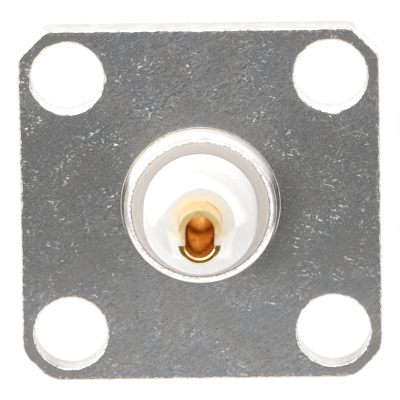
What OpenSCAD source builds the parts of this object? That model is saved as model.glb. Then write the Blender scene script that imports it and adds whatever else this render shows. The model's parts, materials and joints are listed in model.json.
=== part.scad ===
// Square-flange coaxial receptacle with a bayonet barrel, seen from its solder side.
// Frame: the origin is the centre of the flange's rear face, and +Z points out of the solder cup.
// The barrel points down -Z and the part stands on its mouth. All sizes are in millimetres.

/* [Flange plate] */
// Width of the square plate across its sides
flange_w = 17.4; // [16.5:0.1:24]
// Thickness of the stamped sheet
flange_t = 1.5; // [0.8:0.1:3]
// Leg of the straight cut that takes off each corner
corner_cut = 1.35; // [0.8:0.05:2]
// Radius that blends a corner cut into the sides
corner_round = 0.5; // [0.1:0.05:0.8]
// Distance of a fixing hole from the two nearest sides
hole_inset = 2.35; // [2.25:0.05:2.6]
// Diameter of a fixing hole
hole_d = 3.55; // [2.6:0.05:4]
// Broken edge round each punched hole, on both faces
punch_break = 0.07; // [0.02:0.01:0.2]
// Broken edge of the centre hole, on the rear face
seat_break = 0.12; // [0.05:0.01:0.3]

/* [Shell] */
// Outside diameter of the bayonet barrel
barrel_d = 9.65; // [9.3:0.05:11]
// Length of the barrel, from the hub to the mouth
barrel_len = 11.5; // [10:0.1:16]
// Step from the barrel out to the hub
hub_step = 1; // [0.4:0.05:1.5]
// Length of the hub in front of the plate
hub_len = 3.5; // [2:0.1:6]
// Bore that takes the outer contact of a plug
socket_d = 8.13; // [7.6:0.01:8.6]
// Depth of that bore, from the mouth
socket_depth = 8.4; // [7.5:0.1:9.5]
// Lead-in chamfer inside the mouth
lead_in = 0.25; // [0.1:0.05:0.35]
// Chamfer on the outer edge of the mouth and of the hub
turned_break = 0.2; // [0.05:0.05:0.3]
// Thickness of the inner shoulder that stops the insulators
shoulder_t = 1.2; // [0.6:0.1:2]
// Width of that shoulder inside the rear bore
shoulder_w = 0.3; // [0.15:0.05:0.6]
// Bore that holds the insulators
rear_bore_d = 6.9; // [6:0.05:7.4]
// Wall of the boss that passes through the plate
boss_wall = 0.33; // [0.25:0.01:0.6]
// Height of the boss above the rear face of the plate
boss_h = 1.05; // [0.8:0.05:2]
// Thickness of the lip that is rolled in over the insulator
lip_t = 0.25; // [0.15:0.05:0.5]
// Reach of the rolled lip over the insulator
lip_reach = 0.09; // [0.05:0.01:0.25]

/* [Bayonet pins] */
// Diameter of a bayonet pin
pin_d = 1.95; // [1.6:0.05:2.2]
// Height of a pin above the barrel
pin_reach = 0.675; // [0.5:0.025:1]
// Distance of the pins from the mouth
pin_setback = 5; // [4:0.1:6]
// Chamfer on the outer end of a pin
pin_break = 0.15; // [0.05:0.05:0.3]

/* [Insulators] */
// Diameter of the nose inside the barrel
nose_d = 4.75; // [4:0.05:5.2]
// Length of the nose in front of the inner shoulder
nose_len = 5; // [4:0.1:6]
// Length of the front insulator behind the inner shoulder
front_seat_len = 2.3; // [1.5:0.1:3]
// Diameter of the neck round the solder cup
neck_d = 5.48; // [4.4:0.02:5.8]
// Height of the neck's end above the rear face of the plate
neck_h = 3.3; // [2.4:0.02:5]
// Diameter of the flat on the neck's end
neck_flat_d = 3.32; // [2.6:0.02:4]
// Fall of the sloping shoulder from that flat to the neck's side
neck_fall = 0.28; // [0.1:0.02:0.5]
// Radius that blends the shoulder into the neck's side
neck_round = 0.2; // [0.05:0.05:0.3]
// Chamfer on the end of the nose
moulded_break = 0.1; // [0.05:0.05:0.3]
// Radial room of a part that is pushed into its hole
fit_gap = 0.02; // [0.01:0.01:0.05]

/* [Centre contact] */
// Outside diameter of the socket
contact_d = 2.1; // [1.9:0.05:2.4]
// Bore of the socket
contact_bore_d = 1.36; // [1.3:0.01:1.5]
// Depth of the socket's bore
contact_bore_len = 5; // [4:0.1:6.5]
// Width of the slots between the spring fingers
slot_w = 0.2; // [0.1:0.05:0.3]
// Length of the spring fingers
finger_len = 3.8; // [2.5:0.1:4]
// Radial room round the spring fingers, so that they can open
finger_room = 0.1; // [0.05:0.01:0.2]
// Depth of the socket's end inside the nose
contact_setback = 0.1; // [0.05:0.05:0.5]
// Lead-in chamfer of the socket
contact_lead_in = 0.15; // [0.05:0.05:0.25]
// Diameter of the collar that the insulators trap
collar_d = 3; // [2.7:0.1:3.6]
// Thickness of that collar
collar_t = 0.6; // [0.3:0.1:1]
// Outside diameter of the solder cup
cup_d = 2.04; // [1.8:0.02:2.4]
// Bore of the solder cup
cup_bore_d = 1.4; // [1:0.05:1.6]
// Height of the cup's open side above the rear face of the plate
cup_cut_h = 5; // [4.5:0.05:5.8]
// Height of the cup's tip above the rear face of the plate
cup_tip_h = 7.5; // [6.8:0.1:10]
// Depth of the cup's full round part, from the open side down to the floor
cup_depth = 2.6; // [2:0.1:3.2]
// Distance of the cut face behind the axis
cup_cut_back = 0.08; // [0:0.02:0.3]
// Chamfer inside the rim of the cup
cup_rim_break = 0.12; // [0.02:0.02:0.15]
// Chamfer outside the rim of the cup
cup_edge_break = 0.07; // [0.01:0.01:0.1]

/* [Hidden] */
$fn = 96;

// Amount by which a cutting solid runs past the face that it cuts
past = 0.5;
// Steps of a rounded corner in an outline
round_steps = 6;
// Point angle of the drill that leaves the floor of the contact's bores
drill_point = 118;

// Spacing of the fixing holes along both sides
hole_pitch = flange_w - 2 * hole_inset;

// Heights along the axis, from the mouth to the tip
hub_z = -flange_t - hub_len;
mouth_z = hub_z - barrel_len;
stop_z = mouth_z + socket_depth;
seat_z = stop_z + shoulder_t;
split_z = seat_z + front_seat_len;
collar_z = split_z + collar_t;
nose_z = stop_z - nose_len;
contact_z = nose_z + contact_setback;
neck_z = boss_h - lip_t;
cup_floor_z = cup_cut_h - cup_depth;

// Radii that follow from the driving sizes
barrel_r = barrel_d / 2;
hub_r = barrel_r + hub_step;
socket_r = socket_d / 2;
rear_bore_r = rear_bore_d / 2;
shoulder_r = rear_bore_r - shoulder_w;
boss_r = rear_bore_r + boss_wall;
lip_r = rear_bore_r - lip_reach;
insulator_r = rear_bore_r - fit_gap;
neck_r = neck_d / 2;
neck_flat_r = neck_flat_d / 2;
nose_r = nose_d / 2;
contact_r = contact_d / 2;
collar_r = collar_d / 2;
cup_r = cup_d / 2;

// Points of an arc about a centre, from one angle to another
function arc(centre, radius, from, to) = [
    for (i = [0 : round_steps])
        let (a = from + (to - from) * i / round_steps)
        centre + radius * [cos(a), sin(a)]
];

// Points that round the corner between two unit directions, the one in and the one out
function rounded_corner(corner, along_in, along_out, radius) =
    let (
        turn = acos(along_in * along_out),
        tangent = radius * tan(turn / 2),
        start = atan2(-along_in.x, along_in.y),
        centre = corner - tangent * along_in + radius * [-along_in.y, along_in.x]
    )
    arc(centre, radius, start, start + turn);

// One quarter of the plate's outline: the two blended ends of a corner cut
function plate_corner(quarter) =
    let (
        turn = 90 * quarter,
        half = flange_w / 2,
        side = [cos(turn + 90), sin(turn + 90)],
        cut = [cos(turn + 135), sin(turn + 135)],
        next = [cos(turn + 180), sin(turn + 180)],
        out = [cos(turn), sin(turn)]
    )
    concat(
        rounded_corner(half * out + (half - corner_cut) * side, side, cut, corner_round),
        rounded_corner((half - corner_cut) * out + half * side, cut, next, corner_round)
    );

// A hole through the plate with the edge broken on its rear face, and on its front face if asked
module plate_hole(radius, edge, both_faces) {
    translate([0, 0, -flange_t - past])
        cylinder(r = radius, h = flange_t + 2 * past);
    translate([0, 0, -edge])
        cylinder(r1 = radius, r2 = radius + edge + past, h = edge + past);
    if (both_faces)
        translate([0, 0, -flange_t - past])
            cylinder(r1 = radius + edge + past, r2 = radius, h = edge + past);
}

// Stamped plate with cut corners, four fixing holes and the seat of the shell
module flange_plate() {
    color("darkgray")
        difference() {
            translate([0, 0, -flange_t])
                linear_extrude(flange_t)
                    polygon([for (quarter = [0 : 3]) each plate_corner(quarter)]);
            plate_hole(boss_r + fit_gap, seat_break, false);
            for (x = [-1, 1], y = [-1, 1])
                translate([x, y, 0] * hole_pitch / 2)
                    plate_hole(hole_d / 2, punch_break, true);
        }
}

// Two round solids across the barrel, from one radius to another, with a chamfer at the outer end
module cross_pins(radius, from, to, edge) {
    for (side = [0, 180])
        rotate([0, 0, side])
            translate([from, 0, mouth_z + pin_setback])
                rotate([0, 90, 0]) {
                    cylinder(r = radius, h = to - from - edge);
                    translate([0, 0, to - from - edge])
                        cylinder(r1 = radius, r2 = radius - edge, h = edge);
                }
}

// Turned body: bayonet barrel, hub, and a boss that is rolled in over the rear insulator
module shell() {
    roll = boss_r - lip_r;
    profile = concat(
        [
            [socket_r, stop_z],
            [socket_r, mouth_z + lead_in],
            [socket_r + lead_in, mouth_z],
            [barrel_r - turned_break, mouth_z],
            [barrel_r, mouth_z + turned_break],
            [barrel_r, hub_z],
            [hub_r - turned_break, hub_z],
            [hub_r, hub_z + turned_break],
            [hub_r, -flange_t],
            [boss_r, -flange_t]
        ],
        arc([lip_r, boss_h - roll], roll, 0, 90),
        [
            [lip_r, neck_z],
            [rear_bore_r, neck_z],
            [rear_bore_r, seat_z],
            [shoulder_r, seat_z],
            [shoulder_r, stop_z]
        ]
    );
    color("gainsboro")
        difference() {
            rotate_extrude()
                polygon(profile);
            cross_pins(pin_d / 2, socket_r - past, barrel_r + past, 0);
        }
}

// Pins that carry the bayonet ramps of a plug, pressed into the wall of the barrel
module bayonet_pins() {
    color("gainsboro")
        cross_pins(pin_d / 2 - fit_gap, socket_r, barrel_r + pin_reach, pin_break);
}

// Insulator with the nose that guides a plug
module front_insulator() {
    finger_z = contact_z + finger_len;
    profile = [
        [contact_r + finger_room, nose_z],
        [nose_r - moulded_break, nose_z],
        [nose_r, nose_z + moulded_break],
        [nose_r, stop_z],
        [shoulder_r - fit_gap, stop_z],
        [shoulder_r - fit_gap, seat_z],
        [insulator_r, seat_z],
        [insulator_r, split_z],
        [contact_r + fit_gap, split_z],
        [contact_r + fit_gap, finger_z],
        [contact_r + finger_room, finger_z]
    ];
    color("white")
        rotate_extrude()
            polygon(profile);
}

// Insulator with the neck round the solder cup, and a recess for the contact's collar
module rear_insulator() {
    rim = [neck_r, neck_h - neck_fall];
    flat_edge = [neck_flat_r, neck_h];
    slope = (flat_edge - rim) / norm(flat_edge - rim);
    profile = concat(
        [
            [collar_r + fit_gap, split_z],
            [insulator_r, split_z],
            [insulator_r, neck_z],
            [neck_r, neck_z]
        ],
        rounded_corner(rim, [0, 1], slope, neck_round),
        [
            flat_edge,
            [cup_r + fit_gap, neck_h],
            [cup_r + fit_gap, collar_z],
            [collar_r + fit_gap, collar_z]
        ]
    );
    color("whitesmoke")
        rotate_extrude()
            polygon(profile);
}

// A blind drilled bore along +Z, from its floor to past its mouth
module drilled_bore(radius, length) {
    point = radius / tan(drill_point / 2);
    translate([0, 0, -point])
        cylinder(r1 = 0, r2 = radius, h = point);
    cylinder(r = radius, h = length + past);
}

// Gold contact: slotted socket, trapped collar and half-open solder cup, turned from one rod
module centre_contact() {
    socket_floor_z = contact_z + contact_bore_len;
    color("goldenrod")
        difference() {
            union() {
                translate([0, 0, contact_z])
                    cylinder(r1 = contact_r - contact_lead_in / 2, r2 = contact_r, h = contact_lead_in);
                translate([0, 0, contact_z + contact_lead_in])
                    cylinder(r = contact_r, h = split_z - contact_z - contact_lead_in);
                translate([0, 0, split_z])
                    cylinder(r = collar_r, h = collar_t);
                translate([0, 0, collar_z])
                    cylinder(r = cup_r, h = cup_tip_h - cup_edge_break - collar_z);
                translate([0, 0, cup_tip_h - cup_edge_break])
                    cylinder(r1 = cup_r, r2 = cup_r - cup_edge_break, h = cup_edge_break);
            }
            translate([0, 0, socket_floor_z])
                mirror([0, 0, 1])
                    drilled_bore(contact_bore_d / 2, contact_bore_len);
            translate([0, 0, contact_z - past])
                cylinder(
                    r1 = contact_bore_d / 2 + contact_lead_in + past,
                    r2 = contact_bore_d / 2,
                    h = contact_lead_in + past
                );
            for (turn = [0, 90])
                rotate([0, 0, turn])
                    translate([-contact_r - past, -slot_w / 2, contact_z - past])
                        cube([contact_d + 2 * past, slot_w, finger_len + past]);
            translate([0, 0, cup_floor_z])
                drilled_bore(cup_bore_d / 2, cup_tip_h - cup_floor_z);
            translate([0, 0, cup_tip_h - cup_rim_break])
                cylinder(
                    r1 = cup_bore_d / 2,
                    r2 = cup_bore_d / 2 + cup_rim_break + past,
                    h = cup_rim_break + past
                );
            translate([-cup_r - past, -cup_cut_back, cup_cut_h])
                cube([cup_d + 2 * past, cup_d + past, cup_tip_h - cup_cut_h + past]);
        }
}

flange_plate();
shell();
bayonet_pins();
front_insulator();
rear_insulator();
centre_contact();
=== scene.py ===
"""Looks of a square-flange coaxial receptacle: worn nickel, bright turning, fluoropolymer and gold."""
import json
import math

import bmesh
import bpy
import numpy as np
from mathutils import Matrix, Vector, geometry, noise


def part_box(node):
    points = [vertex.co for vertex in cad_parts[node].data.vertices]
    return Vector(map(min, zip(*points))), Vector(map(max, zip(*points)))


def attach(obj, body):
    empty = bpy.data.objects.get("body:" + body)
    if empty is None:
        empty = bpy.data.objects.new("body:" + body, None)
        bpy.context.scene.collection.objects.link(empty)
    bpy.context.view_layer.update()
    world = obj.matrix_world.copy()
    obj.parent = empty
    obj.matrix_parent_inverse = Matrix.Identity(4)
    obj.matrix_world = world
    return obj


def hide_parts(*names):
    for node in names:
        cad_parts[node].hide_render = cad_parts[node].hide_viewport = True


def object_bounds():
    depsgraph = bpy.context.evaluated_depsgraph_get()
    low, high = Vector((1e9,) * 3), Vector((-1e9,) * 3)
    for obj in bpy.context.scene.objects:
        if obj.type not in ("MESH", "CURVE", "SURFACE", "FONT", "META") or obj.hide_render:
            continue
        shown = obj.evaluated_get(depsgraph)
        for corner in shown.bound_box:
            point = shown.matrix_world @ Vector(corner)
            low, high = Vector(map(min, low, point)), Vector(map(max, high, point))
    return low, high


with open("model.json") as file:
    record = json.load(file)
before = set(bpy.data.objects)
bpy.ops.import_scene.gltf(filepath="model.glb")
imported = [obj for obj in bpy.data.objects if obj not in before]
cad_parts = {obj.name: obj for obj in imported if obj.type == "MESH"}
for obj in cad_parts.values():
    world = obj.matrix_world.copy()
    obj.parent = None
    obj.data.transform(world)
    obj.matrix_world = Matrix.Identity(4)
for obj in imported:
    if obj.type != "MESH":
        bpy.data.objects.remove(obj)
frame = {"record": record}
cad_low, cad_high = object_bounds()

# Units: geometry is worked out in millimetres and scaled when it becomes a mesh
MM = 0.001

# Sizes that the frame gives
mounts = {mount["name"]: mount for mount in frame["record"]["mounts"]}
plate_low, plate_high = (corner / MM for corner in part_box("flange_plate"))
shell_low, shell_high = (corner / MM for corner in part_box("shell"))
pins_low, pins_high = (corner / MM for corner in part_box("bayonet_pins"))
nose_low, nose_high = (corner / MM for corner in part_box("front_insulator"))
neck_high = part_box("rear_insulator")[1] / MM
contact_low, contact_high = (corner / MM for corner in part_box("centre_contact"))
HALF_W = plate_high.x
PLATE_T = -plate_low.z
HOLE_PITCH = mounts["flange_holes"]["dims"]["spacing_x_mm"]
HOLE_R = mounts["flange_holes"]["dims"]["hole_r_mm"]
MOUTH_Z = shell_low.z
BOSS_H = shell_high.z
HUB_R = shell_high.x
PIN_TIP = pins_high.x
PIN_R = (pins_high.z - pins_low.z) / 2
PIN_Z = (pins_high.z + pins_low.z) / 2
NOSE_Z = nose_low.z
SPLIT_Z = nose_high.z
INSULATOR_R = neck_high.x
NECK_H = neck_high.z
CONTACT_Z = contact_low.z
TIP_H = contact_high.z
COLLAR_R = contact_high.x
SOCKET_BORE_R = mounts["centre_socket"]["dims"]["r_mm"]
CUP_BORE_R = mounts["solder_cup"]["dims"]["r_mm"]

# Sizes of the solids that the frame doesn't list
CORNER_CUT = 1.35
CORNER_ROUND = 0.5
SEAT_BREAK = 0.12
FIT_GAP = 0.02
HUB_Z = -5.0
BARREL_R = 4.825
SOCKET_R = 4.065
STOP_Z = -8.1
SEAT_Z = -6.9
SHOULDER_R = 3.15
REAR_BORE_R = 3.45
BOSS_R = 3.78
LIP_R = 3.36
NECK_Z = 0.8
LEAD_IN = 0.25
TURNED_BREAK = 0.2
NOSE_R = 2.375
NECK_R = 2.74
CONTACT_R = 1.05
COLLAR_Z = -4.0
CUP_R = 1.02
CUP_CUT_Z = 5.0
CUP_CUT_BACK = 0.08
CUP_FLOOR_Z = 2.4
SOCKET_DEPTH = 5.0
FINGER_LEN = 3.8
FINGER_ROOM = 0.1
SLOT_W = 0.2
DRILL_POINT = math.radians(118)

# Fineness of the turned pieces
TURNED_SEGMENTS = 256
SMALL_SEGMENTS = 144
PIN_SEGMENTS = 64

# Radius and steps of the blend where a turned corner is broken
BROKEN = (0.04, 3)

# Room that is left where plastic closes up to metal
PRESSED_GAP = 0.001

# How far a cutter reaches past what it cuts
PAST = 1.0

# Least angle between faces that stays sharp under smooth shading
CREASE = math.radians(35)

# Radius that counts as on the axis, and distance at which two points of a face count as one
ON_AXIS = 1e-6
SAME_POINT = 1e-7


# Outlines

def filleted(corners):
    """Points of an outline: a corner (x, y) stays sharp, and one with a radius and steps is rounded."""
    points = []
    for i, (x, y, *blend) in enumerate(corners):
        here = np.array((x, y))
        if not blend:
            points.append(here)
            continue
        radius, steps = blend
        back = np.array(corners[i - 1][:2]) - here
        ahead = np.array(corners[(i + 1) % len(corners)][:2]) - here
        back = back / np.linalg.norm(back)
        ahead = ahead / np.linalg.norm(ahead)
        half = math.acos(np.clip(back @ ahead, -1, 1)) / 2
        bisector = (back + ahead) / np.linalg.norm(back + ahead)
        centre = here + bisector * radius / math.sin(half)
        start = here + back * radius / math.tan(half) - centre
        end = here + ahead * radius / math.tan(half) - centre
        first = math.atan2(start[1], start[0])
        turn = math.atan2(end[1], end[0]) - first
        turn = (turn + math.pi) % (2 * math.pi) - math.pi
        for step in range(steps + 1):
            angle = first + turn * step / steps
            points.append(centre + radius * np.array((math.cos(angle), math.sin(angle))))
    return np.array(points)


def resampled(points, spacing):
    """The same closed outline with evenly spaced points."""
    closed = np.vstack((points, points[:1]))
    along = np.concatenate(([0], np.cumsum(np.linalg.norm(np.diff(closed, axis=0), axis=1))))
    at = np.linspace(0, along[-1], round(along[-1] / spacing), endpoint=False)
    return np.column_stack((np.interp(at, along, closed[:, 0]), np.interp(at, along, closed[:, 1])))


def outward(points):
    """Unit normals on the right-hand side of a closed outline."""
    tangent = np.roll(points, -1, axis=0) - np.roll(points, 1, axis=0)
    normal = np.column_stack((tangent[:, 1], -tangent[:, 0]))
    return normal / np.linalg.norm(normal, axis=1, keepdims=True)


def wander(points, scale, seed):
    """Smooth noise from -1 to 1 at each point, with features of about that scale in millimetres."""
    return np.array([noise.noise(Vector((x / scale, y / scale, seed))) for x, y in points])


# Meshes

def turned(profile, segments, shift=None):
    """Mesh of (radius, height) points turned round the Z axis, with poles where they lie on it."""
    bm = bmesh.new()
    rings = []
    for index, (radius, height) in enumerate(profile):
        if radius < ON_AXIS:
            rings.append([bm.verts.new((0, 0, height))])
            continue
        ring = []
        for k in range(segments):
            angle = 2 * math.pi * k / segments
            r, z = (radius, height) if shift is None else shift(radius, height, angle, index)
            ring.append(bm.verts.new((r * math.cos(angle), r * math.sin(angle), z)))
        rings.append(ring)
    starts_at_pole = len(rings[0]) == 1
    pairs = zip(rings, rings[1:] if starts_at_pole else rings[1:] + rings[:1])
    for low, high in pairs:
        for k in range(segments):
            corners = [low[k % len(low)], low[(k + 1) % len(low)]]
            corners += [high[(k + 1) % len(high)], high[k % len(high)]]
            bm.faces.new(list(dict.fromkeys(corners)))
    bmesh.ops.recalc_face_normals(bm, faces=bm.faces)
    return bm


def joined(name, bm, materials):
    """Object with that mesh, scaled to metres and shaded smooth."""
    bmesh.ops.scale(bm, vec=(MM, MM, MM), verts=bm.verts)
    mesh = bpy.data.meshes.new(name)
    bm.to_mesh(mesh)
    bm.free()
    mesh.polygons.foreach_set("use_smooth", [True] * len(mesh.polygons))
    for material in materials:
        mesh.materials.append(material)
    piece = bpy.data.objects.new(name, mesh)
    bpy.context.scene.collection.objects.link(piece)
    return piece


def cut(piece, cutter):
    """Takes the cutter's volume, a mesh in millimetres, out of a piece."""
    tool = joined("cutter", cutter, [])
    modifier = piece.modifiers.new("cut", "BOOLEAN")
    modifier.object = tool
    modifier.operation = "DIFFERENCE"
    modifier.solver = "EXACT"
    evaluated = piece.evaluated_get(bpy.context.evaluated_depsgraph_get())
    result = bpy.data.meshes.new_from_object(evaluated)
    piece.modifiers.clear()
    piece.data = result
    bpy.data.objects.remove(tool)


def block(low, high):
    """Mesh of a box between two corners in millimetres."""
    bm = bmesh.new()
    bmesh.ops.create_cube(bm, size=1)
    bmesh.ops.scale(bm, vec=np.subtract(high, low), verts=bm.verts)
    bmesh.ops.translate(bm, vec=np.add(high, low) / 2, verts=bm.verts)
    return bm


def crease(piece, top):
    """Keeps the corners below a height sharp where the piece is shaded smooth."""
    mesh = piece.data
    mesh.set_sharp_from_angle(angle=CREASE)
    sharp = mesh.attributes["sharp_edge"].data
    for edge in mesh.edges:
        if mesh.vertices[edge.vertices[0]].co.z > top * MM:
            sharp[edge.index].value = False


def stand_for(piece, node):
    """Puts a piece in the place of the solid that it dresses."""
    shading = piece.modifiers.new("even_shading", "WEIGHTED_NORMAL")
    shading.keep_sharp = True
    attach(piece, "root")
    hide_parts(node)


# Materials

def rgb(red, green, blue):
    """An opaque colour."""
    return (red, green, blue, 1.0)


class Nodes:
    """Helpers for the nodes of a material or of the world. A mask is a number from 0 to 1."""

    def __init__(self, owner):
        owner.use_nodes = True
        self.tree = owner.node_tree

    def add(self, kind, inputs, **settings):
        """A new node with its settings and its inputs, which are constants or other nodes' outputs."""
        node = self.tree.nodes.new(kind)
        for key, value in settings.items():
            setattr(node, key, value)
        for key, value in inputs.items():
            if isinstance(value, bpy.types.NodeSocket):
                self.tree.links.new(value, node.inputs[key])
            else:
                node.inputs[key].default_value = value
        return node

    def math(self, operation, a, b=0.0):
        """A sum on one or two numbers."""
        return self.add("ShaderNodeMath", {0: a, 1: b}, operation=operation).outputs[0]

    def vectors(self, operation, a, b):
        """Both outputs of a sum on two vectors."""
        return self.add("ShaderNodeVectorMath", {0: a, 1: b}, operation=operation).outputs

    def parts(self, vector):
        """The X, Y and Z of a vector."""
        return self.add("ShaderNodeSeparateXYZ", {0: vector}).outputs

    def both(self, a, b):
        """A mask where two masks are."""
        return self.math("MULTIPLY", a, b)

    def either(self, a, b):
        """A mask where one of two masks is."""
        return self.math("MAXIMUM", a, b)

    def distance(self, value, middle):
        """How far a number is from another."""
        return self.math("ABSOLUTE", self.math("SUBTRACT", value, middle))

    def ramp(self, value, low, high, to_low=0.0, to_high=1.0):
        """A smooth step between two limits, the first of which may be the greater one."""
        inputs = {"Value": value, 1: low, 2: high, 3: to_low, 4: to_high}
        return self.add("ShaderNodeMapRange", inputs, interpolation_type="SMOOTHSTEP").outputs[0]

    def blend(self, mask, a, b):
        """The first number where a mask is 0 and the second where it is 1."""
        return self.ramp(mask, 0.0, 1.0, a, b)

    def mix(self, mask, a, b):
        """The first colour where a mask is 0 and the second where it is 1."""
        return self.add("ShaderNodeMix", {0: mask, 6: a, 7: b}, data_type="RGBA").outputs[2]


class Finish(Nodes):
    """A material whose patterns are laid out in millimetres on the object."""

    # Limits that most of a noise lies between
    COMMON = (0.35, 0.65)

    def __init__(self, name, **constants):
        self.material = bpy.data.materials.new(name)
        super().__init__(self.material)
        self.shader = self.tree.nodes["Principled BSDF"]
        for key, value in constants.items():
            self.shader.inputs[key.replace("_", " ")].default_value = value
        where = self.tree.nodes.new("ShaderNodeTexCoord")
        inputs = {0: where.outputs["Object"], "Scale": 1 / MM}
        self.place = self.add("ShaderNodeVectorMath", inputs, operation="SCALE").outputs["Vector"]
        self.normal = where.outputs["Normal"]

    def set(self, name, value):
        """Gives a pattern to an input of the shader."""
        self.tree.links.new(value, self.shader.inputs[name])

    def radius(self):
        """Distance from the axis."""
        x, y = self.parts(self.place)[:2]
        square = self.math("ADD", self.math("MULTIPLY", x, x), self.math("MULTIPLY", y, y))
        return self.math("SQRT", square)

    def height(self):
        """Distance along the axis."""
        return self.parts(self.place)[2]

    def stretched(self, scale):
        """A place on a pattern that is finer or coarser in each direction."""
        return self.add("ShaderNodeMapping", {"Vector": self.place, "Scale": scale}).outputs[0]

    def slanted(self, turn, length, width):
        """A place on a pattern that is drawn out in one direction of the plate."""
        inputs = {
            "Vector": self.place,
            "Location": (0, 0, 5 * turn),
            "Rotation": (0, 0, turn),
            "Scale": (length, width, 1),
        }
        return self.add("ShaderNodeMapping", inputs, vector_type="TEXTURE").outputs[0]

    def noise(self, size, detail=2.0, rough=0.5, place=None):
        """Noise with features of that size in millimetres."""
        inputs = {"Vector": place or self.place, "Scale": 1 / size, "Detail": detail, "Roughness": rough}
        return self.add("ShaderNodeTexNoise", inputs).outputs["Fac"]

    def rings(self, size, detail):
        """Noise that varies only along the axis, as the marks of a lathe do."""
        place = self.add("ShaderNodeCombineXYZ", {0: self.height(), 1: 0.0, 2: 0.0}).outputs[0]
        return self.noise(size, detail, 0.6, place)

    def marks(self, turn, length, width, low, high):
        """Short marks in one direction: the peaks of a stretched noise."""
        return self.ramp(self.noise(1.0, 1.0, 0.5, self.slanted(turn, length, width)), low, high)

    def varied(self, pattern, low=0.0, high=1.0):
        """A number that follows a noise from one value to another."""
        return self.ramp(pattern, *self.COMMON, low, high)

    def bump(self, height, depth):
        """Relief of that depth in millimetres."""
        inputs = {"Height": height, "Distance": depth * MM, "Strength": 1.0}
        self.set("Normal", self.add("ShaderNodeBump", inputs).outputs[0])


def worn_nickel():
    """Dull stamped sheet: slanting grain, cloudy discolouring, pits, nicks, chipped rim, warm corners, and
    painted light and a painted shadow round the boss.
    """
    look = Finish("worn_nickel", Metallic=1.0)
    across, along = look.parts(look.place)[:2]
    x, y = look.math("ABSOLUTE", across), look.math("ABSOLUTE", along)

    # Grain, livelier towards +Y
    lively = look.ramp(along, -6.5, 2.5)
    streaks = look.noise(1.0, 3.0, 0.65, look.slanted(0.52, 0.3, 0.09))
    speckle = look.noise(0.07, 2.0, 0.6)
    grain = look.math("MULTIPLY", look.math("ADD", streaks, speckle), 0.5)
    spread = look.blend(lively, 0.24, 0.135)
    tone = look.ramp(grain, look.math("SUBTRACT", 0.5, spread), look.math("ADD", 0.5, spread))

    # Stains: clouds and the corners. The plate is also darker in the middle of its two sides, with painted
    # light on the +Y side of the boss and a painted shadow on its +X side, strongest towards -Y
    hue = look.noise(2.2, 3.0)
    bluish = look.ramp(hue, 0.5, 0.68, 0.0, 0.45)
    warm = look.ramp(hue, 0.48, 0.32, 0.0, 0.45)
    clouds = look.ramp(look.noise(2.6, 3.0, 0.6), 0.4, 0.65, 0.0, 0.5)
    # The plate darker in the middle of its two sides
    darker_mid_sides = look.both(look.ramp(x, 2.2, 4.4), look.ramp(y, 6.0, 2.5, 0.0, 0.5))
    near_boss = look.ramp(look.radius(), BOSS_R + 1.6, BOSS_R + 0.2)
    # Painted light: the plate lighter on the +Y side of the boss
    painted_light_above_boss = look.both(near_boss, look.ramp(along, 1.2, 3.5, 0.0, 0.35))
    # Painted shadow: the plate darker on the +X side of the boss, strongest towards -Y
    depth = look.ramp(along, 0.2, 2.4, 0.5, 0.12)
    tarnish_and_painted_shadow = look.both(near_boss, look.ramp(across, 1.0, 3.4, 0.0, depth))
    corner = look.ramp(look.math("ADD", x, y), 13.4, 15.2, 0.0, 0.6)

    # Wear: pits, bright dots, chips along the rim, and nicks in five directions that come in clusters
    pits = look.ramp(look.noise(0.14, 2.0), 0.38, 0.3, 0.0, 0.7)
    dots = look.ramp(look.noise(0.085, 1.0), 0.62, 0.74, 0.0, look.blend(lively, 0.2, 0.85))
    rim = look.ramp(look.math("MAXIMUM", x, y), HALF_W - 0.3, HALF_W - 0.08, 0.0, 0.7)
    chips = look.noise(0.24, 4.0, 0.7)
    dull_chips = look.both(rim, look.ramp(chips, 0.42, 0.34))
    bright_chips = look.both(rim, look.ramp(chips, 0.52, 0.64))
    nicks = look.marks(0.6, 0.13, 0.1, 0.665, 0.74)
    longer = ((0.2, 0.36, 0.11), (1.1, 0.28, 0.11), (2.2, 0.32, 0.1), (2.9, 0.44, 0.09))
    for turn, length, width in longer:
        nicks = look.either(nicks, look.marks(turn, length, width, 0.68, 0.77))
    most = look.blend(lively, 0.7, 1.0)
    nicks = look.both(nicks, look.ramp(look.noise(1.9, 3.0, 0.6), 0.47, 0.66, 0.08, most))

    sheet = look.mix(tone, rgb(0.13, 0.131, 0.134), rgb(0.355, 0.353, 0.35))
    layers = (
        (bluish, rgb(0.19, 0.205, 0.235)),
        (warm, rgb(0.24, 0.222, 0.195)),
        (clouds, rgb(0.203, 0.202, 0.2)),
        (darker_mid_sides, rgb(0.135, 0.134, 0.13)),
        (painted_light_above_boss, rgb(0.32, 0.312, 0.295)),
        (tarnish_and_painted_shadow, rgb(0.085, 0.084, 0.08)),
        (pits, rgb(0.1, 0.1, 0.105)),
        (dots, rgb(0.5, 0.5, 0.49)),
        (corner, rgb(0.23, 0.215, 0.19)),
        (dull_chips, rgb(0.13, 0.13, 0.13)),
        (bright_chips, rgb(0.6, 0.59, 0.56)),
        (nicks, rgb(0.95, 0.95, 0.93)),
    )
    for mask, colour in layers:
        sheet = look.mix(mask, sheet, colour)
    look.set("Base Color", sheet)
    dull = look.varied(grain, 0.38, 0.31)
    look.set("Roughness", look.math("ADD", dull, look.math("MULTIPLY", nicks, 0.4)))
    relief = look.math("MULTIPLY", grain, look.blend(lively, 0.4, 1.0))
    look.bump(look.math("ADD", relief, look.math("MULTIPLY", nicks, 0.6)), 0.005)
    return look.material


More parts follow.
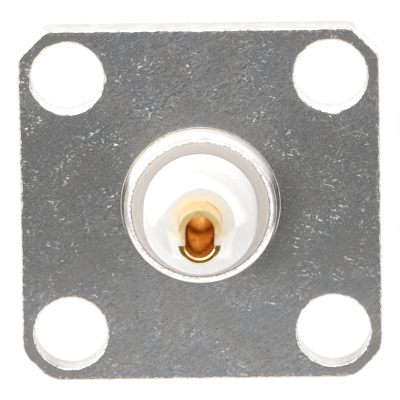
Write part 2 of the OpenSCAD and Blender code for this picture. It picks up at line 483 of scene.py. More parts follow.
def sheared_nickel():
    """Plated wall of a sheared edge: bright and finely streaked across the sheet, with painted light that
    makes the walls in the +Y part of the plate pure white.
    """
    look = Finish("sheared_nickel", Metallic=1.0)
    streaks = look.noise(0.12, 2.0, 0.6, look.stretched((1, 1, 0.15)))
    patches = look.noise(0.8, 2.0)
    along = look.parts(look.place)[1]
    # Painted light: pure white on the walls in the +Y part of the plate, short of the top edge
    painted_light_upper_walls = look.both(look.ramp(along, 2.0, 4.0), look.ramp(along, HALF_W - 0.1, HALF_W - 0.3))
    tone = look.mix(look.ramp(patches, 0.4, 0.65), rgb(0.88, 0.87, 0.85), rgb(0.96, 0.955, 0.945))
    tone = look.mix(look.ramp(streaks, 0.55, 0.75, 0.0, 0.25), tone, rgb(0.75, 0.74, 0.72))
    look.set("Base Color", look.mix(painted_light_upper_walls, tone, rgb(1.0, 1.0, 1.0)))
    look.set("Roughness", look.ramp(streaks, 0.3, 0.7, 0.3, 0.4))
    look.bump(streaks, 0.002)
    return look.material


def worn_edge():
    """Broken edge of the sheet: bright, with dull chips, and brass where the plating is worn off."""
    look = Finish("worn_edge", Metallic=1.0)
    chips = look.noise(0.25, 3.0, 0.7)
    facing = look.parts(look.normal)[1]
    brass = look.both(look.ramp(facing, -0.1, -0.45), look.ramp(chips, 0.36, 0.5))
    nickel = look.mix(look.ramp(chips, 0.38, 0.5), rgb(0.5, 0.49, 0.47), rgb(0.94, 0.93, 0.91))
    look.set("Base Color", look.mix(brass, nickel, rgb(0.78, 0.52, 0.24)))
    look.set("Roughness", look.varied(chips, 0.4, 0.2))
    look.bump(chips, 0.01)
    return look.material


def bright_nickel():
    """Bright plate on turned brass: fine rings from the lathe under faint smears."""
    look = Finish("bright_turned_nickel", Metallic=1.0)
    smears = look.noise(1.3, 3.0, 0.6)
    rings = look.rings(0.09, 3.0)
    tone = look.mix(look.varied(smears), rgb(0.57, 0.55, 0.51), rgb(0.62, 0.6, 0.56))
    tone = look.mix(look.ramp(rings, 0.42, 0.62, 0.0, 0.5), tone, rgb(0.76, 0.74, 0.71))
    look.set("Base Color", tone)
    look.set("Roughness", look.varied(smears, 0.1, 0.18))
    look.bump(rings, 0.0008)
    return look.material


def seat_nickel():
    """Broken edge of the seat round the boss, with brass where the plating is thin."""
    look = Finish("seat_nickel", Metallic=1.0)
    chips = look.noise(0.3, 3.0, 0.6)
    x, y = look.parts(look.place)[:2]
    thin = look.ramp(look.math("SUBTRACT", look.math("MULTIPLY", y, 0.9), x), 0.5, 2.5)
    brass = look.both(thin, look.ramp(chips, 0.42, 0.6))
    nickel = look.mix(look.ramp(chips, 0.4, 0.6), rgb(0.7, 0.68, 0.65), rgb(0.9, 0.88, 0.85))
    look.set("Base Color", look.mix(brass, nickel, rgb(0.98, 0.8, 0.55)))
    look.set("Roughness", look.varied(chips, 0.35, 0.2))
    look.bump(chips, 0.006)
    return look.material


def rolled_nickel():
    """Bright plate on the rolled boss: polished by the tool, and low on its +Y side rough and painted near
    white as painted light.
    """
    look = Finish("rolled_nickel", Metallic=1.0)
    smears = look.noise(0.5, 3.0, 0.6)
    # Painted light: the steep outer wall, where it faces +Y, is painted near white and made rough
    steep = look.ramp(look.radius(), BOSS_R - 0.24, BOSS_R - 0.08)
    rough = look.both(steep, look.ramp(look.parts(look.normal)[1], 0.1, 0.55))
    tone = look.mix(look.varied(smears), rgb(0.84, 0.82, 0.79), rgb(0.96, 0.94, 0.91))
    look.set("Base Color", look.mix(rough, tone, rgb(1.0, 0.99, 0.97)))
    polish = look.varied(smears, 0.1, 0.18)
    look.set("Roughness", look.math("MAXIMUM", polish, look.math("MULTIPLY", rough, 0.8)))
    look.bump(look.noise(0.12, 3.0, 0.6), 0.003)
    return look.material


def rolled_edge():
    """Inner edge of the rolled lip, crumpled by the rolling tool, with brown in its folds."""
    look = Finish("rolled_edge", Metallic=1.0)
    folds = look.noise(0.11, 3.0, 0.7)
    tone = look.mix(look.ramp(folds, 0.42, 0.52), rgb(0.62, 0.53, 0.46), rgb(0.97, 0.945, 0.92))
    look.set("Base Color", tone)
    look.set("Roughness", look.varied(folds, 0.55, 0.3))
    look.bump(folds, 0.03)
    return look.material


def fluoropolymer(name, white, **gloss):
    """Waxy white plastic, with a painted warm glow of light from the gold round the contact and painted
    shade in the recess under the rolled lip.
    """
    look = Finish(name, Subsurface_Radius=(1.0, 0.95, 0.88), Subsurface_Scale=0.35 * MM, **gloss)
    shaded = [0.99 * part for part in white]
    clouds = look.noise(1.4, 3.0)
    radius = look.radius()
    # Painted shade: warm grey in the recess under the rolled lip, outside the neck
    recess = look.ramp(look.height(), NECK_Z + 0.2, NECK_Z + 0.05)
    painted_recess_shade = look.either(recess, look.ramp(radius, NECK_R + 0.1, NECK_R + 0.2))
    # Painted light: a warm glow round the contact, standing in for light reflected from the gold
    glow = look.math("POWER", look.ramp(radius, CUP_R + 0.95, CUP_R), 1.8)
    tone = look.mix(look.ramp(clouds, 0.3, 0.7), rgb(*shaded), rgb(*white))
    tone = look.mix(glow, tone, rgb(0.88, 0.76, 0.6))
    look.set("Base Color", look.mix(painted_recess_shade, tone, rgb(0.7, 0.655, 0.61)))
    look.set("Roughness", look.ramp(clouds, 0.3, 0.7, 0.25, 0.35))
    look.set("Subsurface Weight", look.ramp(radius, CUP_R + 0.1, CUP_R + 0.6))
    return look.material


def plated_gold():
    """Smooth gold plate on the turned outside of the contact."""
    look = Finish("turned_gold", Metallic=1.0)
    tarnish_and_painted_shadow = look.noise(0.5, 3.0, 0.6)
    tone = look.mix(look.ramp(tarnish_and_painted_shadow, 0.4, 0.7), rgb(1.0, 0.82, 0.47), rgb(0.95, 0.7, 0.35))
    look.set("Base Color", tone)
    look.set("Roughness", look.varied(tarnish_and_painted_shadow, 0.12, 0.22))
    look.bump(look.rings(0.04, 2.0), 0.0012)
    return look.material


def milled_gold(name, dark, light, rough):
    """A face of the milled cut, streaked by the cutter, with two bands of painted highlight at set heights
    above the cut, which fall on its upright faces.
    """
    look = Finish(name, Metallic=1.0)
    streaks = look.noise(0.3, 1.0, 0.5, look.stretched((0.4, 1, 1)))
    above = look.math("SUBTRACT", look.height(), CUP_CUT_Z)
    # Painted highlights: two pale bands at set heights above the cut
    lower = look.ramp(look.distance(above, 0.35), 0.4, 0.2)
    upper = look.ramp(look.distance(above, 1.85), 0.5, 0.25)
    pale = look.math("MULTIPLY", look.either(lower, upper), 0.75)
    tone = look.math("ADD", look.ramp(streaks, 0.4, 0.6, 0.0, 0.25), pale)
    look.set("Base Color", look.mix(tone, dark, light))
    look.set("Roughness", look.varied(streaks, rough + 0.02, rough - 0.02))
    look.bump(streaks, 0.0004)
    return look.material


def painted_dark_tip():
    """End face of the cup, painted dark bronze: a painted reflection of the dim opening overhead."""
    look = Finish("painted_dark_tip", Metallic=1.0)
    patches = look.noise(0.2, 3.0, 0.6)
    tone = look.mix(look.ramp(patches, 0.4, 0.65), rgb(0.18, 0.105, 0.02), rgb(0.32, 0.19, 0.04))
    look.set("Base Color", tone)
    look.set("Roughness", look.varied(patches, 0.3, 0.18))
    look.bump(patches, 0.001)
    return look.material


def faceted_gold():
    """Inside of the cup: brown-orange gold in facets that the drill left, with a painted highlight in a
    wedge on its floor.
    """
    look = Finish("faceted_gold", Metallic=1.0)
    place = look.stretched((1.9, 1.9, 0.45))
    cells = look.add("ShaderNodeTexVoronoi", {"Vector": place, "Scale": 1.0}).outputs
    tilt = look.vectors("SUBTRACT", cells["Color"], (0.5, 0.5, 0.5))["Vector"]
    offset = look.vectors("SUBTRACT", place, cells["Position"])["Vector"]
    slope = look.vectors("DOT_PRODUCT", tilt, offset)["Value"]
    shade = look.parts(cells["Color"])[0]
    x, y, z = look.parts(look.place)
    floor = look.ramp(z, CUP_FLOOR_Z + 0.35, CUP_FLOOR_Z + 0.25)
    # Painted highlight: a pale wedge on the floor of the cup
    lean = look.math("ADD", look.distance(x, 0.05), look.math("MULTIPLY", y, 0.22))
    flat = look.both(floor, look.ramp(lean, 0.1, 0.05))
    tone = look.mix(look.ramp(shade, 0.2, 0.8), rgb(0.95, 0.55, 0.19), rgb(1.0, 0.85, 0.5))
    tone = look.mix(floor, tone, rgb(0.8, 0.42, 0.12))
    look.set("Base Color", look.mix(flat, tone, rgb(0.98, 0.6, 0.22)))
    polish = look.varied(look.noise(0.2, 2.0), 0.1, 0.2)
    look.set("Roughness", look.math("ADD", polish, look.math("MULTIPLY", floor, 0.25)))
    look.bump(look.math("MULTIPLY", slope, look.blend(floor, 1.0, 0.1)), 0.14)
    return look.material


# Flange plate

SHEET, WALL, EDGE, SEAT = range(4)
LOOP_SPACING = 0.06
CORNER_STEPS = 8
RUBBED_ROUND = 1.4
EDGE_STEPS = 4
EDGE_BREAK = 0.055
EDGE_FRONT_BREAK = 0.05
EDGE_RAGGED = 0.015
HOLE_BREAK = 0.06
SEAT_WEAR = 0.12
LEAST_BREAK = 0.012
CHIP_START = 0.35
CHIP_GROWTH = 3.2
SHEARED_SHARE = 0.4
BROKEN_SHARE = 0.5
FRACTURE_DEPTH = 0.012
EDGE_SEED = 1
SEAT_SEED = 2
HOLE_SIDES = ((-1, -1), (1, -1), (1, 1), (-1, 1))
HOLE_SEEDS = (20, 29, 38, 47)
REAR_SEED = 51
FRONT_SEED = 52
SHEET_GRID = 0.3
SHEET_WAVE = 0.004
SHEET_WAVE_SIZE = 1.6


def plate_outline():
    """Anticlockwise outline of a square with cut, blended corners, the two at -Y rubbed rounder."""
    corners = []
    for quarter, blend in enumerate((CORNER_ROUND, CORNER_ROUND, RUBBED_ROUND, RUBBED_ROUND)):
        turn = Matrix.Rotation(quarter * math.pi / 2, 2)
        for point in ((HALF_W, HALF_W - CORNER_CUT), (HALF_W - CORNER_CUT, HALF_W)):
            corners.append((*(turn @ Vector(point)), blend, CORNER_STEPS))
    return resampled(filleted(corners), LOOP_SPACING)


def hole_outline(centre, radius):
    """Outline of a round hole, clockwise."""
    count = round(2 * math.pi * radius / LOOP_SPACING)
    angles = -2 * math.pi * np.arange(count) / count
    return np.column_stack((centre[0] + radius * np.cos(angles), centre[1] + radius * np.sin(angles)))


def edge_rings(bm, points, look, seed, rear_break, front_break, wear=1.0, ragged=0.0):
    """Makes a sheared edge and returns its rings of vertices at the rear face and at the front face."""
    out = outward(points)
    uneven = 0.5 * wander(points, 0.5, seed) + 0.6 * wander(points, 0.16, seed + 7)
    chip = np.clip(wander(points, 0.7, seed + 3) - CHIP_START, 0, 1) * CHIP_GROWTH
    rear = np.clip(rear_break * (1 + wear * (uneven + chip)), LEAST_BREAK, None)
    sway = ragged * (1 + wander(points, 1.1, seed + 11)) / 2
    rings = []
    for step in range(EDGE_STEPS + 1):
        angle = math.pi / 2 * step / EDGE_STEPS
        inset = sway + rear * (1 - math.sin(angle))
        rings.append((inset, -rear * (1 - math.cos(angle))))
    fracture = FRACTURE_DEPTH * (1 + wander(points, 0.2, seed + 5))
    rings.append((sway, np.full(len(points), -PLATE_T * SHEARED_SHARE)))
    rings.append((sway + fracture, np.full(len(points), -PLATE_T * BROKEN_SHARE)))
    for step in range(EDGE_STEPS + 1):
        angle = math.pi / 2 * (1 - step / EDGE_STEPS)
        inset = sway + front_break * (1 - math.sin(angle))
        rings.append((inset, np.full(len(points), -PLATE_T + front_break * (1 - math.cos(angle)))))
    made = []
    for inset, heights in rings:
        places = points - out * inset[:, None]
        made.append([bm.verts.new((x, y, z)) for (x, y), z in zip(places, heights)])
    for level, (upper, lower) in enumerate(zip(made, made[1:])):
        for k in range(len(points)):
            following = (k + 1) % len(points)
            face = bm.faces.new((upper[k], upper[following], lower[following], lower[k]))
            face.material_index = look if level < EDGE_STEPS else WALL
    return made[0], made[-1]


def inside(points, loops):
    """Which points lie inside an odd number of closed loops."""
    odd = np.zeros(len(points), bool)
    for loop in loops:
        ahead = np.roll(loop, -1, axis=0)
        for (x0, y0), (x1, y1) in zip(loop, ahead):
            if y0 == y1:
                continue
            spans = (points[:, 1] >= min(y0, y1)) & (points[:, 1] < max(y0, y1))
            crossing = x0 + (points[:, 1] - y0) / (y1 - y0) * (x1 - x0)
            odd ^= spans & (points[:, 0] < crossing)
    return odd


def sheet_face(bm, rings, height, seed):
    """Fills one face of the plate between its edges, over a grid that carries a slight waviness."""
    loops = [np.array([vertex.co.xy for vertex in ring]) for ring in rings]
    count = int(HALF_W / SHEET_GRID)
    axis = np.arange(-count, count + 1) * SHEET_GRID
    grid = np.array([(x, y) for x in axis for y in axis])
    border = np.vstack(loops)
    room = SHEET_GRID ** 2 / 2
    clear = np.array([np.min(np.sum((border - point) ** 2, axis=1)) > room for point in grid])
    grid = grid[inside(grid, loops) & clear]
    ripples = SHEET_WAVE * wander(grid, SHEET_WAVE_SIZE, seed)
    vertices = [vertex for ring in rings for vertex in ring]
    vertices += [bm.verts.new((x, y, height + ripple)) for (x, y), ripple in zip(grid, ripples)]
    edges = []
    start = 0
    for ring in rings:
        edges += [(start + k, start + (k + 1) % len(ring)) for k in range(len(ring))]
        start += len(ring)
    flat = [vertex.co.xy for vertex in vertices]
    found = geometry.delaunay_2d_cdt(flat, edges, [], 0, SAME_POINT)
    places, triangles, origins = found[0], found[2], found[3]
    middles = np.array([np.mean([places[i] for i in triangle], axis=0) for triangle in triangles])
    for triangle, keep in zip(triangles, inside(middles, loops)):
        if keep:
            bm.faces.new([vertices[origins[i][0]] for i in triangle]).material_index = SHEET


def flange_plate():
    """The stamped sheet with its centre hole and its four fixing holes."""
    bm = bmesh.new()
    rim = edge_rings(bm, plate_outline(), EDGE, EDGE_SEED, EDGE_BREAK, EDGE_FRONT_BREAK, ragged=EDGE_RAGGED)
    seat = hole_outline((0, 0), BOSS_R + FIT_GAP)
    edges = [rim, edge_rings(bm, seat, SEAT, SEAT_SEED, SEAT_BREAK / 2, FIT_GAP, wear=SEAT_WEAR)]
    for (side_x, side_y), seed in zip(HOLE_SIDES, HOLE_SEEDS):
        hole = hole_outline((side_x * HOLE_PITCH / 2, side_y * HOLE_PITCH / 2), HOLE_R)
        edges.append(edge_rings(bm, hole, EDGE, seed, HOLE_BREAK, HOLE_BREAK))
    rear, front = zip(*edges)
    sheet_face(bm, rear, 0.0, REAR_SEED)
    sheet_face(bm, front, -PLATE_T, FRONT_SEED)
    bmesh.ops.recalc_face_normals(bm, faces=bm.faces)
    piece = joined("stamped_plate", bm, [worn_nickel(), sheared_nickel(), worn_edge(), seat_nickel()])
    stand_for(piece, "flange_plate")


# Shell and bayonet pins

CRUMPLED, ROLLED = 1, 2
ROLL = BOSS_R - LIP_R
ROLL_STEPS = 20
CRUMPLED_W = 0.1
FOLDS_ROUND = 30
FOLD_W = 0.02
FOLD_IN = 0.02
FOLD_DOWN = 0.016
FOLD_START = 0.05
OTHER_FOLDS = Vector((9, 4, 2))
BOSS_ROOM = 0.01
SHARP_BELOW = -0.9 * PLATE_T
PIN_ROUND = (0.15, 6)


def crumpled_lip(radius, height, angle, index):
    """Moves the points at the inner edge of the rolled lip in and out a little."""
    if height < NECK_Z + FOLD_START or radius > LIP_R + FOLD_W:
        return radius, height
    place = Vector((math.cos(angle), math.sin(angle), 0)) * FOLDS_ROUND + Vector((0, 0, index))
    inner = radius + FOLD_IN * noise.noise(place)
    return inner, height - FOLD_DOWN * abs(noise.noise(place + OTHER_FOLDS))


def pin_solid(side, radius, inner, outer, *edge):
    """Mesh of a round pin along +X or -X, its outer edge rounded where a radius and steps are given."""
    bm = turned(filleted([(0, inner), (radius, inner), (radius, outer, *edge), (0, outer)]), PIN_SEGMENTS)
    turn = Matrix.Rotation(side * math.pi / 2, 3, "Y")
    bmesh.ops.rotate(bm, cent=(0, 0, 0), matrix=turn, verts=bm.verts)
    bmesh.ops.translate(bm, vec=(0, 0, PIN_Z), verts=bm.verts)
    return bm


def shell(nickel):
    """The turned body: barrel, hub, and the boss with its lip rolled in over the insulator."""
    angles = np.linspace(0, math.pi / 2, ROLL_STEPS + 1)[1:]
    rolled = [(LIP_R + ROLL * math.cos(a), BOSS_H - ROLL * (1 - math.sin(a))) for a in angles]
    profile = filleted([
        (SOCKET_R, STOP_Z, *BROKEN),
        (SOCKET_R, MOUTH_Z + LEAD_IN, *BROKEN),
        (SOCKET_R + LEAD_IN, MOUTH_Z, *BROKEN),
        (BARREL_R - TURNED_BREAK, MOUTH_Z, *BROKEN),
        (BARREL_R, MOUTH_Z + TURNED_BREAK, *BROKEN),
        (BARREL_R, HUB_Z, *BROKEN),
        (HUB_R - TURNED_BREAK, HUB_Z, *BROKEN),
        (HUB_R, HUB_Z + TURNED_BREAK, *BROKEN),
        (HUB_R, -PLATE_T, *BROKEN),
        (BOSS_R, -PLATE_T),
        (BOSS_R, BOSS_H - ROLL),
        *rolled,
        (LIP_R, NECK_Z),
        (REAR_BORE_R, NECK_Z),
        (REAR_BORE_R, SEAT_Z),
        (SHOULDER_R, SEAT_Z),
        (SHOULDER_R, STOP_Z),
    ])
    bm = turned(profile, TURNED_SEGMENTS, crumpled_lip)
    for face in bm.faces:
        middle = face.calc_center_median()
        reach = middle.xy.length
        if reach < LIP_R + CRUMPLED_W and middle.z > NECK_Z:
            face.material_index = CRUMPLED
        elif LIP_R < reach < BOSS_R + BOSS_ROOM and -PLATE_T < middle.z:
            face.material_index = ROLLED
    piece = joined("turned_shell", bm, [nickel, rolled_edge(), rolled_nickel()])
    for side in (-1, 1):
        cut(piece, pin_solid(side, PIN_R + FIT_GAP, SOCKET_R - PAST, BARREL_R + PAST))
    crease(piece, SHARP_BELOW)
    stand_for(piece, "shell")


def bayonet_pins(nickel):
    """The two pins that are pressed into the barrel."""
    bm = bmesh.new()
    for side in (1, -1):
        pin = pin_solid(side, PIN_R, SOCKET_R, PIN_TIP, *PIN_ROUND)
        mesh = bpy.data.meshes.new("pin")
        pin.to_mesh(mesh)
        pin.free()
        bm.from_mesh(mesh)
        bpy.data.meshes.remove(mesh)
    stand_for(joined("pressed_pins", bm, [nickel]), "bayonet_pins")


# Insulators

SOFT = (0.06, 3)
NOSE_ROUND = (0.12, 5)
SQUEEZED = 0.22
SQUEEZED_ROUND = (0.06, 4)
HOLLOW_W = 0.25
HOLLOW_ROUND = (0.3, 6)
ROOT_ROUND = (0.08, 4)
NECK_ROUND = (0.2, 12)
NECK_SIDE_ROOM = 0.02
DOME_R = 1.1
SLOPE_R = 2.0
NECK_SLOPE = 0.255
RIM_FALL = 0.2
DOME_STEPS = 24
ROUNDED_STEPS = 4


def front_insulator(plastic):
    """The bush with the nose that guides a plug."""
    finger_z = CONTACT_Z + FINGER_LEN
    bm = turned(filleted([
        (CONTACT_R + FINGER_ROOM, NOSE_Z, *SOFT),
        (NOSE_R, NOSE_Z, *NOSE_ROUND),
        (NOSE_R, STOP_Z, *SOFT),
        (SHOULDER_R - FIT_GAP, STOP_Z),
        (SHOULDER_R - FIT_GAP, SEAT_Z),
        (INSULATOR_R, SEAT_Z),
        (INSULATOR_R, SPLIT_Z),
        (CONTACT_R + FIT_GAP, SPLIT_Z),
        (CONTACT_R + FIT_GAP, finger_z),
        (CONTACT_R + FINGER_ROOM, finger_z),
    ]), SMALL_SEGMENTS)
    stand_for(joined("nose_insulator", bm, [plastic]), "front_insulator")


def crowned(share):
    """Point of the neck's gently domed end, at a share of the way from the contact to the rim."""
    radius = CUP_R + PRESSED_GAP + share * (NECK_R - CUP_R - PRESSED_GAP)
    bend = min(max(radius - DOME_R, 0), SLOPE_R - DOME_R)
    past = max(radius - SLOPE_R, 0)
    fall = NECK_SLOPE * (bend ** 2 / (SLOPE_R - DOME_R) / 2 + past + RIM_FALL * past ** 2)
    return radius, NECK_H - fall


def rear_insulator(plastic, side_plastic_painted_lighter):
    """The bush with the neck round the cup. Its shoulder is squeezed up a little against the rolled lip."""
    dome = [crowned(step / DOME_STEPS) for step in range(DOME_STEPS - ROUNDED_STEPS, -1, -1)]
    bm = turned(filleted([
        (COLLAR_R + FIT_GAP, SPLIT_Z),
        (INSULATOR_R, SPLIT_Z),
        (INSULATOR_R, NECK_Z),
        (LIP_R - PRESSED_GAP, NECK_Z),
        (LIP_R - PRESSED_GAP, NECK_Z + SQUEEZED, *SQUEEZED_ROUND),
        (LIP_R - HOLLOW_W, NECK_Z, *HOLLOW_ROUND),
        (NECK_R, NECK_Z, *ROOT_ROUND),
        (*crowned(1.0), *NECK_ROUND),
        *dome,
        (CUP_R + PRESSED_GAP, COLLAR_Z),
        (COLLAR_R + FIT_GAP, COLLAR_Z),
    ]), TURNED_SEGMENTS)
    for face in bm.faces:
        middle = face.calc_center_median()
        # The side of the neck takes the copy of the plastic that is painted lighter
        on_side = middle.z > NECK_Z and middle.xy.length > NECK_R - NECK_SIDE_ROOM
        face.material_index = 1 if on_side else 0
    piece = joined("neck_insulator", bm, [plastic, side_plastic_painted_lighter])
    crease(piece, NECK_H)
    stand_for(piece, "rear_insulator")


# Centre contact

PLATED, STEP, RIM, PAINTED_DARK_TIP, FACETED = range(5)
FACE_ROOM = 0.03
FACING = 0.9
TIP_FACING = 0.98
TIP_FACING_FALL = 2
TIP_DEPTH = 0.14
MOUTH_ROUND = (0.12, 5)
FINGER_ROUND = (0.1, 5)
TIP_ROUND = (0.1, 6)
BORE_ROUND = (0.13, 6)
FLOOR_ROUND = (0.3, 8)
BEVEL_W = 0.02
BEVEL_ANGLE = math.radians(50)
BEVEL_SEGMENTS = 3


def gold_face(middle, normal):
    """Which look a face of the contact has, from its place and the way it faces."""
    if middle.z < CUP_FLOOR_Z - CUP_BORE_R:
        return PLATED
    # The end face takes the painted dark reflection
    level = TIP_FACING - TIP_FACING_FALL * max(0, abs(middle.x) - CUP_BORE_R)
    if normal.z > level and middle.z > TIP_H - TIP_DEPTH:
        return PAINTED_DARK_TIP
    if normal.z > FACING and abs(middle.z - CUP_CUT_Z) < FACE_ROOM:
        return RIM
    if normal.y > FACING and abs(middle.y + CUP_CUT_BACK) < FACE_ROOM and middle.z > CUP_CUT_Z:
        return STEP
    return FACETED if middle.xy.length < CUP_BORE_R + FACE_ROOM else PLATED


def centre_contact():
    """The turned contact: slotted socket, collar, and a solder cup that is cut half open."""
    socket_floor = CONTACT_Z + SOCKET_DEPTH
    socket_point = socket_floor + SOCKET_BORE_R / math.tan(DRILL_POINT / 2)
    cup_point = CUP_FLOOR_Z - CUP_BORE_R / math.tan(DRILL_POINT / 2)
    bm = turned(filleted([
        (0, socket_point),
        (SOCKET_BORE_R, socket_floor),
        (SOCKET_BORE_R, CONTACT_Z, *MOUTH_ROUND),
        (CONTACT_R, CONTACT_Z, *FINGER_ROUND),
        (CONTACT_R, SPLIT_Z),
        (COLLAR_R, SPLIT_Z, *BROKEN),
        (COLLAR_R, COLLAR_Z, *BROKEN),
        (CUP_R, COLLAR_Z),
        (CUP_R, TIP_H, *TIP_ROUND),
        (CUP_BORE_R, TIP_H, *BORE_ROUND),
        (CUP_BORE_R, CUP_FLOOR_Z, *FLOOR_ROUND),
        (0, cup_point),
    ]), SMALL_SEGMENTS)
    # Two copies of one milled gold: the upright step faces pale to white as painted light, the rim olive
    # dark as a painted dark reflection
    step = milled_gold("milled_gold", rgb(1.0, 0.88, 0.65), rgb(1.0, 1.0, 1.0), 0.37)
    rim = milled_gold("milled_gold_painted_dark", rgb(0.59, 0.43, 0.195), rgb(0.71, 0.525, 0.265), 0.32)
    piece = joined("turned_contact", bm, [plated_gold(), step, rim, painted_dark_tip(), faceted_gold()])
    half = SLOT_W / 2
    reach = CONTACT_R + PAST
    low, high = CONTACT_Z - PAST, CONTACT_Z + FINGER_LEN
    cut(piece, block((-reach, -half, low), (reach, half, high)))
    cut(piece, block((-half, -reach, low), (half, reach, high)))
    cut(piece, block((-reach, -CUP_CUT_BACK, CUP_CUT_Z), (reach, reach, TIP_H + PAST)))
    for face in piece.data.polygons:
        face.use_smooth = True
        face.material_index = gold_face(Vector(face.center) / MM, face.normal)
    bevel = piece.modifiers.new("broken_edges", "BEVEL")
    bevel.limit_method = "ANGLE"
    bevel.angle_limit = BEVEL_ANGLE
    bevel.width = BEVEL_W * MM
    bevel.segments = BEVEL_SEGMENTS
    stand_for(piece, "centre_contact")


# Camera

TILT = math.radians(14.6)
YAW = math.radians(-0.58)
ROLL_TURN = math.radians(0.69)
DISTANCE = 850 * MM
PIXELS_ACROSS = 400
PIXELS_PER_MM = 20.72
SHIFT_X = 0.028 * MM
SHIFT_Y = -0.227 * MM
NEAREST, FARTHEST = 0.1 * DISTANCE, 20 * DISTANCE


def photo_camera():
    """Camera with the photograph's view: it looks down on the solder side and leans towards +Y."""
    camera = bpy.data.objects.new("camera", bpy.data.cameras.new("camera"))
    bpy.context.scene.collection.objects.link(camera)
    view = Matrix.Rotation(ROLL_TURN, 3, "Z") @ Matrix.Rotation(YAW, 3, "Y") @ Matrix.Rotation(TILT, 3, "X")
    to_world = view.transposed()
    place = to_world @ Vector((-SHIFT_X, -SHIFT_Y, DISTANCE))
    camera.matrix_world = Matrix.LocRotScale(place, to_world, None)
    camera.data.lens = camera.data.sensor_width * PIXELS_PER_MM * DISTANCE / MM / PIXELS_ACROSS
    camera.data.clip_start = NEAREST
    camera.data.clip_end = FARTHEST
    bpy.context.scene.camera = camera


# Floor

FLOOR_R = 1200 * MM
FLOOR_SEGMENTS = 96
PAPER_GREY = 0.9
PAPER_ROUGHNESS = 0.9
PAPER_OWN_LIGHT = 0.96


def white_paper():
    """Paper that the camera and reflections see mostly by its own light, with a trace of the shadow."""
    paper = bpy.data.materials.new("white_paper")
    look = Nodes(paper)
    lit = look.tree.nodes["Principled BSDF"]
    lit.inputs["Base Color"].default_value = rgb(PAPER_GREY, PAPER_GREY, PAPER_GREY)
    lit.inputs["Roughness"].default_value = PAPER_ROUGHNESS
    lit.inputs["Specular IOR Level"].default_value = 0.0
    glow = look.add("ShaderNodeEmission", {})
    ray = look.add("ShaderNodeLightPath", {}).outputs
    seen = look.either(ray["Is Camera Ray"], ray["Is Glossy Ray"])
    seen = look.either(seen, ray["Is Transmission Ray"])
    share = look.math("MULTIPLY", seen, PAPER_OWN_LIGHT)
    surface = look.add("ShaderNodeMixShader", {0: share, 1: lit.outputs[0], 2: glow.outputs[0]})
    look.tree.links.new(surface.outputs[0], look.tree.nodes["Material Output"].inputs["Surface"])
    return paper


def paper_floor():
    """Round floor at the lowest point of the part."""
    mesh = bpy.data.meshes.new("floor")
    bm = bmesh.new()
    bmesh.ops.create_circle(bm, cap_ends=True, segments=FLOOR_SEGMENTS, radius=FLOOR_R)
    bmesh.ops.translate(bm, vec=(0, 0, cad_low.z), verts=bm.verts)
    bm.to_mesh(mesh)
    bm.free()
    floor = bpy.data.objects.new("floor", mesh)
    bpy.context.scene.collection.objects.link(floor)
    mesh.materials.append(white_paper())


# World and lamp

OPENING = (-0.106, -0.313, 0.944)
OPENING_EDGE = (-0.524, 0.849, -0.073)
KEY = (-0.03, 0.753, 0.657)
GAP = (0.7, 0.0, 0.714)
WALL_LIGHT = 1.12
END_TOP_LIGHT = 0.84
LEFT_END_LIGHT = 0.47
RIGHT_END_LIGHT = 0.25
KEY_LIGHT = 1.0
KEY_LOW_LIGHT = 3.9
KEY_TOP_LIGHT = 2.0
POST_DEPTH = 0.75
OPENING_LIGHT = 0.52
BACKGROUND_LIGHT = 1.0


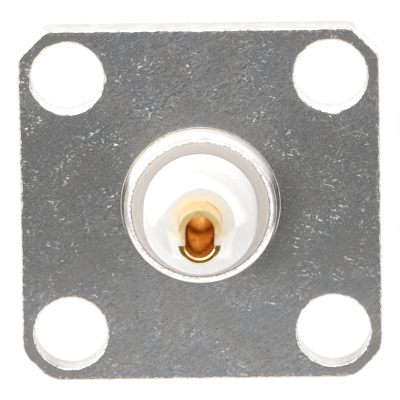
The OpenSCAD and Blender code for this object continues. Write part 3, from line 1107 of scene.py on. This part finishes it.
def light_tent():
    """World: a tent with a key wall at +Y, dull ends at -X and +X, and a dim opening over the part."""
    world = bpy.data.worlds.new("studio")
    bpy.context.scene.world = world
    sky = Nodes(world)
    direction = sky.add("ShaderNodeTexCoord", {}).outputs["Generated"]
    x, y, z = sky.parts(direction)
    azimuth = sky.math("ARCTAN2", x, y)

    def off(middle, none, full):
        """Mask from 0 to 1 between two angles off a direction, in degrees."""
        near = sky.vectors("DOT_PRODUCT", direction, middle)["Value"]
        return sky.ramp(near, math.cos(math.radians(none)), math.cos(math.radians(full)))

    def aside(first, second, *values):
        """Mask, or other values, between two angles from +Y towards +X, in degrees."""
        return sky.ramp(azimuth, math.radians(first), math.radians(second), *values)

    # Wall all round, with its two dull ends
    ends = sky.both(sky.ramp(y, 0.25, 0.1), sky.ramp(y, -0.55, -0.4))
    left = sky.ramp(z, 0.0, 0.85, LEFT_END_LIGHT, END_TOP_LIGHT)
    right = sky.ramp(z, 0.3, 0.8, RIGHT_END_LIGHT, END_TOP_LIGHT)
    wall = sky.blend(sky.both(ends, sky.ramp(x, -0.25, -0.5)), WALL_LIGHT, left)
    wall = sky.blend(sky.both(ends, sky.ramp(x, 0.25, 0.5)), wall, right)

    # Key wall, less a post, a gap at its right and a corner at its left
    post = sky.both(aside(12, 15), aside(27, 24))
    post = sky.both(post, sky.ramp(z, 0.85, 0.7, 0.0, POST_DEPTH))
    corner = sky.both(sky.ramp(x, -0.52, -0.6), sky.ramp(y, 0.1, -0.1))
    missing = sky.either(sky.either(post, off(GAP, 18, 16)), corner)
    keyed = sky.math("SUBTRACT", off(KEY, 72, 70), missing)
    low = aside(10, 35, KEY_LOW_LIGHT, KEY_LIGHT)
    key = sky.blend(off(OPENING, 37, 34), sky.ramp(z, 0.35, 0.5, low, KEY_LIGHT), KEY_TOP_LIGHT)

    # Opening, round but for one straight edge, and a white background for the camera
    opening = sky.both(off(OPENING, 24.5, 22.5), off(OPENING_EDGE, 89, 91))
    radiance = sky.blend(opening, sky.blend(keyed, wall, key), OPENING_LIGHT)
    camera_ray = sky.add("ShaderNodeLightPath", {}).outputs["Is Camera Ray"]
    radiance = sky.blend(camera_ray, radiance, BACKGROUND_LIGHT)
    sky.tree.links.new(radiance, sky.tree.nodes["Background"].inputs["Color"])


def softbox(name, azimuth, elevation, distance, width, height, radiance):
    """A soft rectangular lamp that faces the part. Azimuth is from +Y towards +X, in degrees."""
    lamp = bpy.data.lights.new(name, "AREA")
    lamp.shape = "RECTANGLE"
    lamp.size = width * MM
    lamp.size_y = height * MM
    lamp.energy = radiance * math.pi * width * height * MM * MM
    box = bpy.data.objects.new(name, lamp)
    bpy.context.scene.collection.objects.link(box)
    turn, rise = math.radians(azimuth), math.radians(elevation)
    back = Vector((math.sin(turn) * math.cos(rise), math.cos(turn) * math.cos(rise), math.sin(rise)))
    box.matrix_world = Matrix.LocRotScale(back * distance * MM, back.to_track_quat("Z", "Y"), None)


# Scene

nickel = bright_nickel()
plastic = fluoropolymer(
    "waxy_fluoropolymer", (0.755, 0.755, 0.75), Coat_Weight=1.0, Coat_Roughness=0.02, Coat_IOR=2.1,
)
# A copy of the plastic for the side of the neck, without gloss and painted lighter as painted light, so
# that its lit side shows white
side_plastic_painted_lighter = fluoropolymer("side_fluoropolymer_painted_lighter", (0.9, 0.9, 0.895), Specular_IOR_Level=0.0)
flange_plate()
shell(nickel)
bayonet_pins(nickel)
front_insulator(plastic)
rear_insulator(plastic, side_plastic_painted_lighter)
centre_contact()
photo_camera()
paper_floor()
light_tent()
softbox("fill", azimuth=180, elevation=60, distance=60, width=40, height=24, radiance=0.95)
bpy.context.scene.view_settings.view_transform = "Standard"
